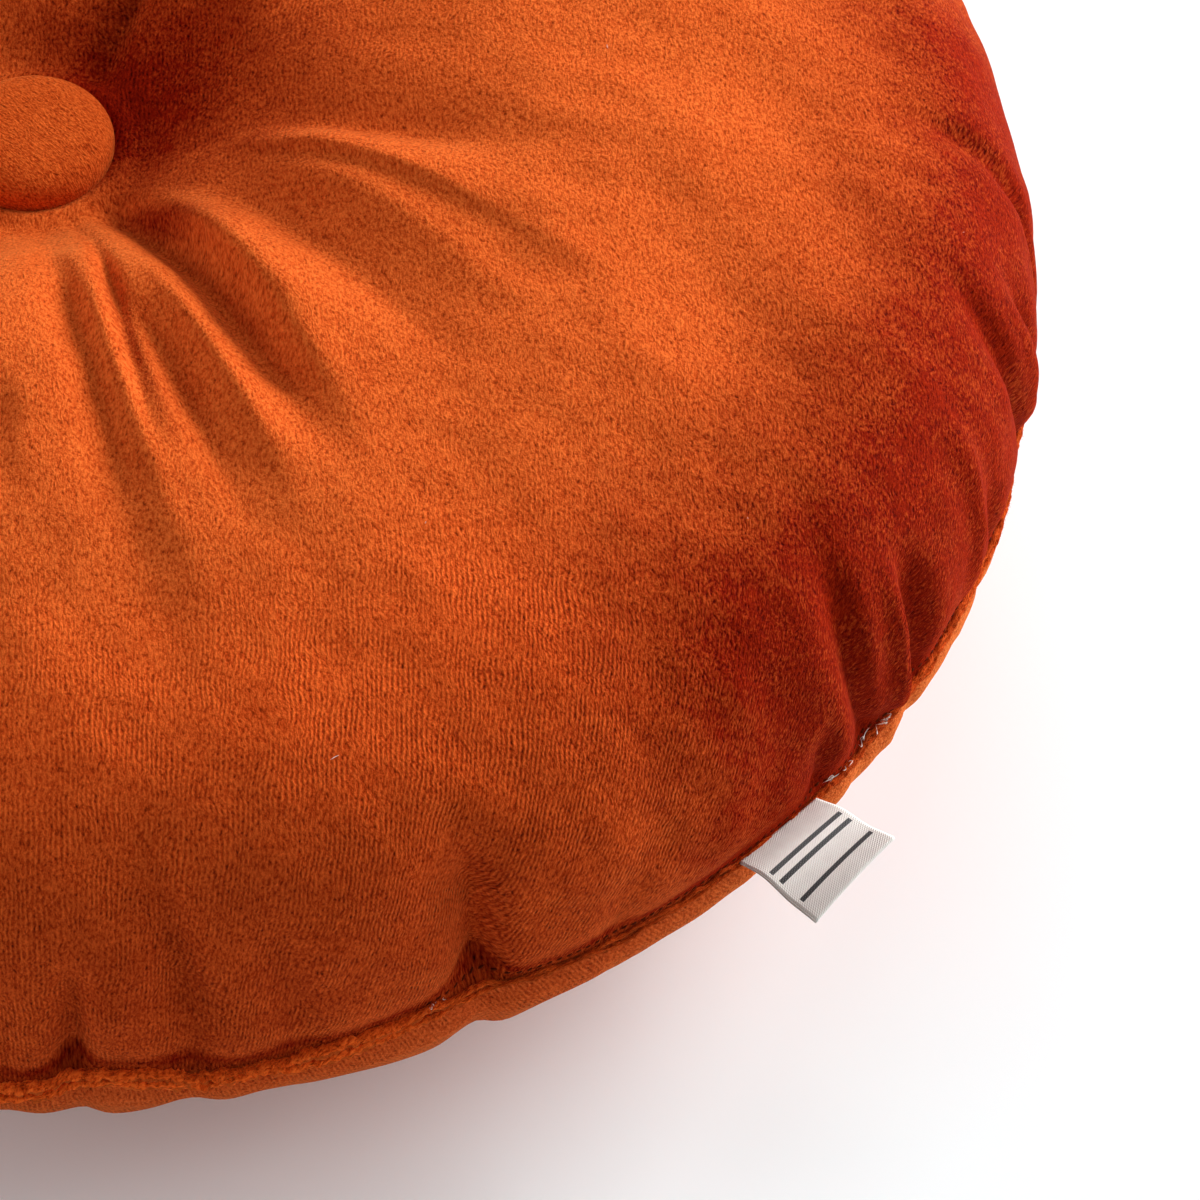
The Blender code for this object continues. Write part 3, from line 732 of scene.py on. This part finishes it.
def build_button(surface):
    """The covered button: a flat underside, a rolled rim and a domed top."""
    count = 160
    line = [(BUTTON_RADIUS * share, 0.0) for share in (0.45, 0.86)]
    for k in range(9):
        turn = 0.5 * math.pi * k / 8
        line.append((BUTTON_RADIUS * (0.93 + 0.07 * math.sin(turn)),
                     BUTTON_RIM * (1.0 - math.cos(turn))))
    for k in range(1, 24):
        turn = 0.5 * math.pi * k / 24
        line.append((BUTTON_RADIUS * math.cos(turn) ** 0.50,
                     BUTTON_RIM + BUTTON_DOME * math.sin(turn) ** 0.90))
    angle = 2.0 * math.pi * np.arange(count) / count
    points = [(0.0, 0.0, 0.0)]
    for reach, height in line:
        ring = np.stack((reach * np.cos(angle), reach * np.sin(angle), 0.0 * angle + height), -1)
        points.extend(ring.tolist())
    points.append((0.0, 0.0, BUTTON_RIM + BUTTON_DOME))
    faces = [(0, 1 + (k + 1) % count, 1 + k) for k in range(count)]
    for ring in range(len(line) - 1):
        faces.extend(ring_faces(1 + (ring + 1) * count, 1 + ring * count, count))
    last = 1 + (len(line) - 1) * count
    top = len(points) - 1
    faces.extend((last + k, last + (k + 1) % count, top) for k in range(count))
    profile = np.array([(0.0, 0.0)] + line + [(0.0, BUTTON_RIM + BUTTON_DOME)])
    lengths = np.hypot(*np.diff(profile, axis=0).T)
    from_top = np.concatenate((np.cumsum(lengths[::-1])[::-1], [0.0]))
    flat_points = [(0.0, 0.0, BUTTON_RIBS)]
    for reach in from_top[1:-1]:
        flat_points.extend(zip(reach * np.cos(angle), reach * np.sin(angle),
                               np.full(count, BUTTON_RIBS)))
    flat_points.append((0.0, 0.0, BUTTON_RIBS))

    tilt = math.radians(BUTTON_TILT_DEG)
    placed = []
    for x, y, z in points:
        z = z + SEAT_GAP - BUTTON_SINK
        placed.append((BUTTON_OFFSET[0] + x,
                       BUTTON_OFFSET[1] + y * math.cos(tilt) - z * math.sin(tilt),
                       SEAM_HEIGHT + CROWN_RISE - DIMPLE_DEPTH + y * math.sin(tilt)
                       + z * math.cos(tilt)))
    nap_shade = np.full(len(points), BUTTON_NAP)
    button = add_mesh("covered_button", placed, faces, surface, flat_points,
                      nap_shade)
    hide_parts("button")
    return button


def seam_ring(from_seam, count):
    """Points of the crown at one distance from the seam, evenly spread by angle, from -180."""
    ring, cloth, nap_shade = panel_points(CROWN_RISE, CROWN_POWERS, lambda whole: np.array([from_seam]),
                                    (), all_folds(SEAM_FOLDS), 1.0)
    angle = np.linspace(0.0, 360.0, COLUMNS, endpoint=False)
    wanted = np.linspace(-180.0, 180.0, count, endpoint=False)
    columns = [np.interp(wanted, angle, ring[0][:, axis], period=360.0) for axis in range(3)]
    return wanted, np.stack(columns, axis=-1)


def bead_radius(degrees):
    """The bead's radius round the cushion."""
    places = [row[0] for row in BEAD_TABLE]
    radii = [row[1] for row in BEAD_TABLE]
    return np.interp(degrees, places, radii, period=360.0)


def build_bead(surface):
    """The turned-in edges that show as two fuzzy strands along the seam."""
    random = np.random.default_rng(BEAD_SEED)
    degrees, line = seam_ring(0.0, BEAD_STEPS)
    turn = np.radians(degrees)
    outward = np.stack((np.cos(turn), np.sin(turn), 0.0 * turn), axis=-1)
    around = 2.0 * math.pi * np.arange(BEAD_SIDES) / BEAD_SIDES
    points, faces, cloth = [], [], []
    for shift_out, shift_up, share in BEAD_STRANDS:
        lumps = random.normal(0.0, 1.0, (BEAD_STEPS, BEAD_SIDES))
        lumps = (lumps + np.roll(lumps, 1, 0) + np.roll(lumps, 1, 1)) / 3.0 ** 0.5
        sway = random.normal(0.0, 1.0, BEAD_STEPS)
        for turns in range(12):
            sway = (sway + np.roll(sway, 1) + np.roll(sway, -1)) / 3.0
        radius = bead_radius(degrees)
        wide = radius[:, None] * share * (1.0 + BEAD_LUMPS * np.clip(lumps, -1.6, 1.6) * 0.5)
        middle = line + outward * shift_out
        middle[:, 2] += shift_up * radius / 0.0014 + 0.0012 * sway
        tube = (middle[:, None, :] + outward[:, None, :] * (wide * np.cos(around))[..., None])
        tube[..., 2] += wide * np.sin(around)
        first = len(points)
        points.extend(tube.reshape(-1, 3).tolist())
        run = np.repeat(turn * SEAM_RADIUS, BEAD_SIDES)
        side = np.tile(around * 0.0012, BEAD_STEPS)
        cloth.extend(np.stack((run, side, 0.0 * run), axis=-1).tolist())
        for step in range(BEAD_STEPS):
            following = (step + 1) % BEAD_STEPS
            faces.extend(ring_faces(first + step * BEAD_SIDES, first + following * BEAD_SIDES,
                                    BEAD_SIDES))
    # The bead's painted pile shade, as on the flank beside it
    first_turn, full_turn = BEAD_NAP_SHADE_TURN_DEG
    nap_shade = BEAD_NAP_SHADE * eased((degrees - first_turn) / (full_turn - first_turn))
    nap_shade = np.tile(np.repeat(nap_shade, BEAD_SIDES), len(BEAD_STRANDS))
    return add_mesh("seam_bead", points, faces, surface, cloth, nap_shade)


def spindle(start, end, radius, sides=6, rings=5, bow=(0.0, 0.0, 0.0)):
    """A thread piece that thins towards both ends: its points and faces."""
    start, end, bow = np.asarray(start), np.asarray(end), np.asarray(bow)
    along = (end - start) / np.linalg.norm(end - start)
    aside = np.cross(along, (0.31, 0.42, 0.85))
    aside /= np.linalg.norm(aside)
    over = np.cross(along, aside)
    around = 2.0 * math.pi * np.arange(sides) / sides
    points = [start]
    for ring in range(1, rings + 1):
        share = ring / (rings + 1)
        thick = radius * math.sin(math.pi * share) ** 0.5
        middle = start + (end - start) * share + bow * 4.0 * share * (1.0 - share)
        points.extend(middle + thick * (math.cos(a) * aside + math.sin(a) * over) for a in around)
    points.append(end)
    faces = [(0, 1 + (k + 1) % sides, 1 + k) for k in range(sides)]
    for ring in range(rings - 1):
        faces.extend(ring_faces(1 + (ring + 1) * sides, 1 + ring * sides, sides))
    last = 1 + (rings - 1) * sides
    faces.extend((last + k, last + (k + 1) % sides, len(points) - 1) for k in range(sides))
    return points, faces


def add_threads(name, threads, surface):
    """One mesh piece of many small threads."""
    points, faces = [], []
    for thread_points, thread_faces in threads:
        first = len(points)
        points.extend([float(value) for value in point] for point in thread_points)
        faces.extend(tuple(first + corner for corner in face) for face in thread_faces)
    return add_mesh(name, points, faces, surface)


def build_stitches(surface):
    """The sunk stitches just over the seam, in dark thread that also paints the shade in their
    pits.
    """
    whole = 2.0 * math.pi * SEAM_RADIUS
    count = int(whole / STITCH_PITCH)
    degrees, low = seam_ring(STITCH_FROM_SEAM, count)
    degrees, high = seam_ring(STITCH_FROM_SEAM + STITCH_SLANT, count)
    share = STITCH_LENGTH / STITCH_PITCH
    threads = []
    for k in range(count):
        following = (k + 1) % count
        end = low[k] * (1.0 - share) + high[following] * share
        if bead_radius(degrees[k]) < STITCH_HIDDEN_BEAD:
            threads.append(spindle(low[k], end, STITCH_RADIUS, sides=6, rings=3))
    return add_threads("seam_stitches", threads, surface)


def build_fuzz(surface):
    """Short fibres that stand off the seam's edge."""
    random = np.random.default_rng(FUZZ_SEED)
    degrees, line = seam_ring(0.0, BEAD_STEPS)
    radius = bead_radius(degrees)
    threads = []
    for fibre in range(FUZZ_COUNT):
        k = random.integers(BEAD_STEPS)
        rise = random.uniform(-0.9, 2.6)
        turn = math.radians(degrees[k] + random.uniform(-0.1, 0.1))
        outward = np.array((math.cos(turn), math.sin(turn), 0.0))
        tangent = np.array((-math.sin(turn), math.cos(turn), 0.0))
        facing = outward * math.cos(rise) + np.array((0.0, 0.0, math.sin(rise)))
        foot = line[k] + facing * radius[k] * 0.7 + np.array((0.0, 0.0, -0.0008))
        lean = facing + tangent * random.normal(0.0, 0.6) + random.normal(0.0, 0.25, 3)
        lean /= np.linalg.norm(lean)
        length = random.uniform(*FUZZ_LENGTH)
        tip = foot + lean * length
        aside = np.cross(lean, outward + 0.3 * tangent)
        aside *= FUZZ_RADIUS / max(np.linalg.norm(aside), 1e-6)
        over = np.cross(lean, aside)
        corners = [foot + aside, foot - 0.5 * aside + over, foot - 0.5 * aside - over, tip]
        threads.append((corners, [(0, 1, 3), (1, 2, 3), (2, 0, 3), (0, 2, 1)]))
    return add_threads("seam_fuzz", threads, surface)


def build_wisps(surface):
    """Pale thread ends that curl out of the seam here and there, and lint on the crown."""
    random = np.random.default_rng(WISP_SEED)
    degrees, line = seam_ring(0.0012, BEAD_STEPS)
    threads = []
    for place, count, out in WISPS:
        for thread in range(count):
            shift = random.normal(0.0, 0.38)
            k = int(np.argmin(np.abs((degrees - place - shift + 180.0) % 360.0 - 180.0)))
            turn = math.radians(degrees[k])
            outward = np.array((math.cos(turn), math.sin(turn), 0.35))
            tangent = np.array((-math.sin(turn), math.cos(turn), 0.0))
            start = line[k] + outward * 0.0004
            reach = outward * out * random.uniform(0.2, 0.6)
            end = start + reach + tangent * random.normal(0.0, 0.0016)
            bow = random.normal(0.0, 0.0006, 3) + outward * 0.0005
            threads.append(spindle(start, end, WISP_RADIUS, sides=5, rings=6, bow=bow))
    for place, reach in LINT:
        ring, cloth, nap_shade = panel_points(CROWN_RISE, CROWN_POWERS,
                                        lambda whole: np.array([whole - reach]),
                                        all_folds(BUTTON_FOLDS), all_folds(SEAM_FOLDS), 1.0)
        foot = ring[0][int(round((place % 360.0) / 360.0 * COLUMNS)) % COLUMNS]
        foot = foot + np.array((0.0, 0.0, 0.0004))
        end = foot + random.normal(0.0, 1.0, 3) * (0.0009, 0.0009, 0.0002)
        bow = random.normal(0.0, 0.0002, 3)
        threads.append(spindle(foot, end, 0.6 * WISP_RADIUS, sides=5, rings=5, bow=bow))
    return add_threads("loose_threads", threads, surface)


def build_label(surface):
    """The folded ribbon: two thin layers that join in the fold at its outer end."""
    steps, turns, strips = 40, 12, 36
    half_gap = 0.5 * LABEL_LAYER_GAP
    outer_radius = half_gap + LABEL_LAYER
    straight = LABEL_LENGTH - outer_radius
    path = [(straight * k / steps, 1.0, 0.0) for k in range(steps)]
    path += [(straight, math.cos(math.pi * k / turns), math.sin(math.pi * k / turns))
             for k in range(turns + 1)]
    path += [(straight * (steps - 1 - k) / steps, -1.0, 0.0) for k in range(steps)]
    angle = math.radians(LABEL_ANGLE_DEG)
    points, cloth = [], []
    for row in range(strips + 1):
        across = row / strips - 0.5
        for offset in (outer_radius, half_gap):
            travelled = 0.0
            before = None
            for along, up, out in path:
                # The layers close up towards the seam, where both ends are caught
                pinch = 0.45 + 0.55 * eased(along / (0.5 * LABEL_LENGTH))
                place = np.array((along + offset * out, up * offset * pinch))
                if before is not None:
                    travelled += float(np.linalg.norm(place - before))
                before = place
                share = min(place[0] / LABEL_LENGTH, 1.0)
                height = place[1] + 2.0 * LABEL_TWIST * across * share ** 1.5
                height += LABEL_SAG * math.sin(math.pi * share) * 0.6
                height += LABEL_LIFT * share
                height -= LABEL_DROOP * float(eased((share - 0.22) / 0.5))
                height += LABEL_CUP * (2.0 * across) ** 2 * share
                reach = SEAM_RADIUS + LABEL_SEAT + place[0]
                aside = LABEL_WIDTH * across
                points.append((reach * math.cos(angle) - aside * math.sin(angle),
                               reach * math.sin(angle) + aside * math.cos(angle),
                               SEAM_HEIGHT + height))
                cloth.append((travelled, aside, 0.0))
    line = len(path)
    row_points = 2 * line
    faces = []
    for row in range(strips):
        near, far = row * row_points, (row + 1) * row_points
        for k in range(line - 1):
            faces.append((far + k, near + k, near + k + 1, far + k + 1))
            faces.append((near + line + k, far + line + k, far + line + k + 1, near + line + k + 1))
        for k, turned in ((0, False), (line - 1, True)):
            end = (near + k, far + k, far + line + k, near + line + k)
            faces.append(end[::-1] if turned else end)
    last = strips * row_points
    for k in range(line - 1):
        faces.append((k, line + k, line + k + 1, k + 1))
        faces.append((last + k + 1, last + line + k + 1, last + line + k, last + k))
    label = add_mesh("woven_label", points, faces, surface, cloth)
    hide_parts("label")
    return label


def build_stage():
    """White floor, soft light from behind and above, and the photograph's camera."""
    floor = bpy.data.meshes.new("floor")
    half = 4.0
    floor.from_pydata([(-half, -half, 0.0), (half, -half, 0.0), (half, half, 0.0),
                       (-half, half, 0.0)], [], [(0, 1, 2, 3)])
    floor_piece = bpy.data.objects.new("floor", floor)
    bpy.context.scene.collection.objects.link(floor_piece)
    paint = Recipe("white_floor")
    paint.shader.inputs["Base Color"].default_value = (0.85, 0.895, 0.91, 1.0)
    paint.shader.inputs["Roughness"].default_value = 0.8
    paint.shader.inputs["Emission Color"].default_value = (0.93, 1.0, 1.0, 1.0)
    paint.shader.inputs["Emission Strength"].default_value = 0.12
    paint.shader.inputs["Specular IOR Level"].default_value = 0.1
    floor.materials.append(paint.material)

    def area_light(name, azimuth_deg, elevation_deg, distance, width, height, power):
        """A soft box aimed at the cushion; the azimuth turns from +Y towards +X."""
        turn, rise = math.radians(azimuth_deg), math.radians(elevation_deg)
        towards = Vector((math.sin(turn) * math.cos(rise), math.cos(turn) * math.cos(rise),
                          math.sin(rise)))
        data = bpy.data.lights.new(name, 'AREA')
        data.shape = 'RECTANGLE'
        data.size = width
        data.size_y = height
        data.energy = power
        lamp = bpy.data.objects.new(name, data)
        lamp.location = towards * distance + Vector((0.0, 0.0, SEAM_HEIGHT))
        lamp.rotation_euler = (-towards).to_track_quat('-Z', 'Y').to_euler()
        bpy.context.scene.collection.objects.link(lamp)

    area_light("key", 55.0, 19.0, 2.2, 1.2, 1.4, 86.0)
    area_light("left_fill", -100.0, 20.0, 2.0, 1.0, 0.8, 13.0)
    area_light("right_fill", 108.0, 42.0, 2.0, 0.8, 0.8, 6.0)
    area_light("overhead", 12.0, 62.0, 2.2, 1.2, 1.2, 9.0)

    world = bpy.data.worlds.new("studio")
    world.use_nodes = True
    background = world.node_tree.nodes["Background"]
    background.inputs["Color"].default_value = (1.0, 1.0, 1.0, 1.0)
    background.inputs["Strength"].default_value = 0.14
    bpy.context.scene.world = world
    bpy.context.scene.view_settings.view_transform = 'Standard'

    data = bpy.data.cameras.new("camera")
    data.lens = CAMERA_LENS
    data.sensor_width = SENSOR
    data.clip_end = 20.0
    camera = bpy.data.objects.new("camera", data)
    camera.location = CAMERA_PLACE
    camera.rotation_euler = (math.radians(90.0 - CAMERA_DOWN_DEG), 0.0, 0.0)
    bpy.context.scene.collection.objects.link(camera)
    bpy.context.scene.camera = camera


build_stage()
# Each velvet's second colour is the deep tone of its painted pile shade
cushion_velvet = velvet("rust_velvet", (0.65, 0.110, 0.017), (0.20, 0.008, 0.0005))
button_velvet = velvet("button_velvet", (0.62, 0.096, 0.013), (0.28, 0.018, 0.002), -47.0, 1.5,
                       0.75)
build_cushion(cushion_velvet)
build_button(button_velvet)
build_bead(velvet("bead_velvet", (0.88, 0.118, 0.014), (0.19, 0.012, 0.001), 62.0, 1.6, 0.9))
# Dark stitch thread, also painting the shade in the stitches' pits
build_stitches(plain_thread("stitch_thread_pit_shade", (0.10, 0.012, 0.002)))
build_fuzz(plain_thread("edge_fibre", (0.64, 0.088, 0.011)))
build_wisps(plain_thread("pale_thread", (0.90, 0.80, 0.72)))
build_label(label_satin())
